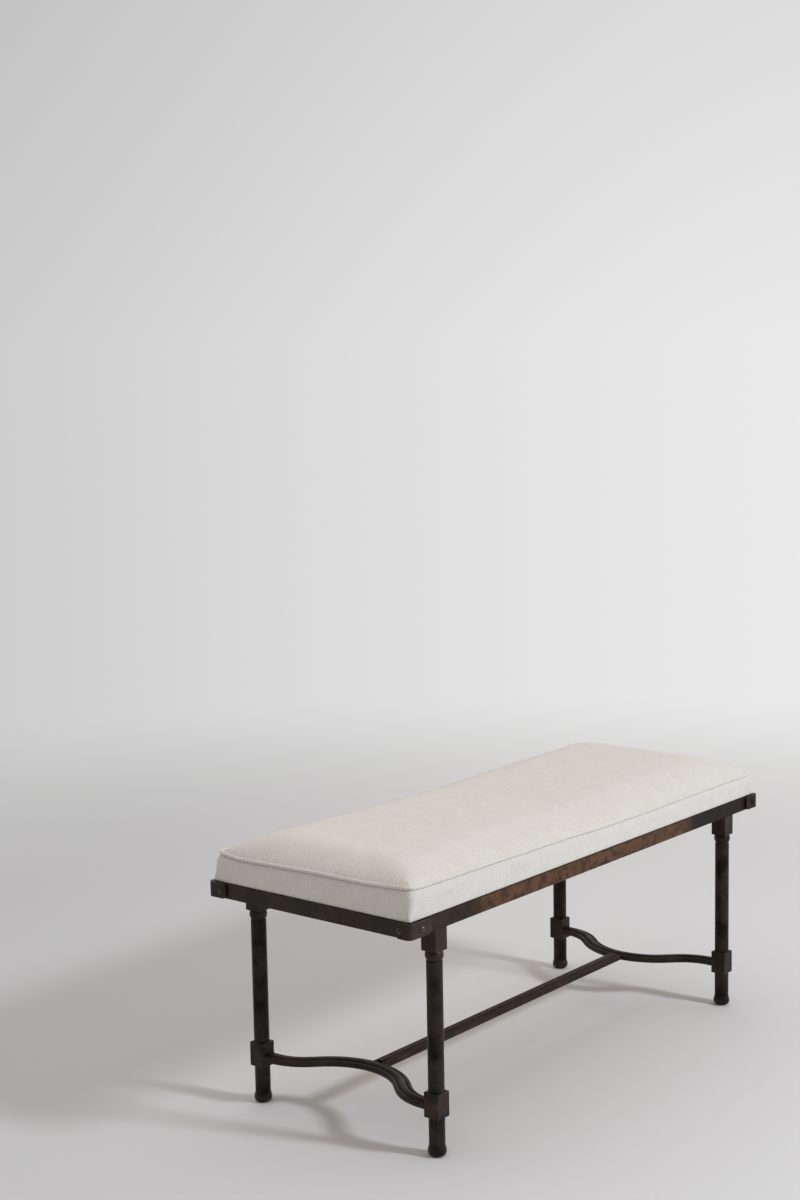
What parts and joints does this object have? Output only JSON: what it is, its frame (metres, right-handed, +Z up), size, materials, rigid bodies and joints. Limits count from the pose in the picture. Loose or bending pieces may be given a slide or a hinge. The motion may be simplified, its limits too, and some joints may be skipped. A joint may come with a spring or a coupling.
{
  "type": "upholstered bench",
  "caption": "Long low wrought iron bench with turned legs, bowed stretchers and a crowned welted cushion.",
  "frame": {"origin": "on the floor under the middle of the seat", "axes": "+X along the bench, -Y its front, +Z up"},
  "size_m": [1.2344, 0.4996, 0.5503],
  "materials": {
    "wrought_iron": "dark waxed",
    "plywood": "raw",
    "foam": "open foam",
    "upholstery": "woven"
  },
  "bodies": {
    "root": {"back_left_foot": "wrought_iron", "back_left_lower_shaft": "wrought_iron", "back_left_neck_ring": "wrought_iron", "back_left_strap": "wrought_iron", "back_left_strap_screws": "wrought_iron", "back_left_stretcher_block": "wrought_iron", "back_left_top_block": "wrought_iron", "back_left_upper_shaft": "wrought_iron", "back_rail": "wrought_iron", "back_right_foot": "wrought_iron", "back_right_lower_shaft": "wrought_iron", "back_right_neck_ring": "wrought_iron", "back_right_strap": "wrought_iron", "back_right_strap_screws": "wrought_iron", "back_right_stretcher_block": "wrought_iron", "back_right_top_block": "wrought_iron", "back_right_upper_shaft": "wrought_iron", "board_screws": "wrought_iron", "centre_stretcher": "wrought_iron", "cushion_cover": "upholstery", "cushion_welt": "upholstery", "foam_core": "foam", "front_left_foot": "wrought_iron", "front_left_lower_shaft": "wrought_iron", "front_left_neck_ring": "wrought_iron", "front_left_strap": "wrought_iron", "front_left_strap_screws": "wrought_iron", "front_left_stretcher_block": "wrought_iron", "front_left_top_block": "wrought_iron", "front_left_upper_shaft": "wrought_iron", "front_rail": "wrought_iron", "front_right_foot": "wrought_iron", "front_right_lower_shaft": "wrought_iron", "front_right_neck_ring": "wrought_iron", "front_right_strap": "wrought_iron", "front_right_strap_screws": "wrought_iron", "front_right_stretcher_block": "wrought_iron", "front_right_top_block": "wrought_iron", "front_right_upper_shaft": "wrought_iron", "left_end_rail": "wrought_iron", "left_end_stretcher": "wrought_iron", "right_end_rail": "wrought_iron", "right_end_stretcher": "wrought_iron", "seat_board": "plywood"}
  },
  "joints": []
}
